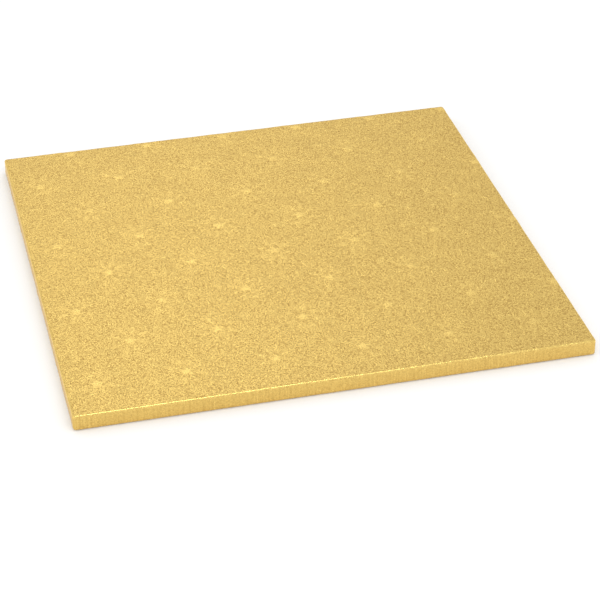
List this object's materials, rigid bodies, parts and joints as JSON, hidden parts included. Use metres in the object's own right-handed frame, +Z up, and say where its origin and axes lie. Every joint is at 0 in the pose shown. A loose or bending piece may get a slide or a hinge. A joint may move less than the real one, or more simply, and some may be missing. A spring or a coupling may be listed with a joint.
{
  "type": "cake board",
  "caption": "Square drum-type cake board: stiff slab covered in embossed gold foil paper turned under its edges, with a white paper liner on the underside; carries a cake.",
  "frame": {"origin": "centre of the underside, on the surface that the board rests on", "axes": "+Z up through the thickness, +X to the right along the front edge, +Y towards the back edge"},
  "size_m": [0.3556, 0.3556, 0.012],
  "materials": {
    "layered_board": "matte",
    "gold_foil_paper": "satin",
    "white_liner_paper": "matte"
  },
  "bodies": {
    "root": {"core_board": "layered_board", "foil_wrap": "gold_foil_paper", "base_liner": "white_liner_paper"}
  },
  "joints": []
}
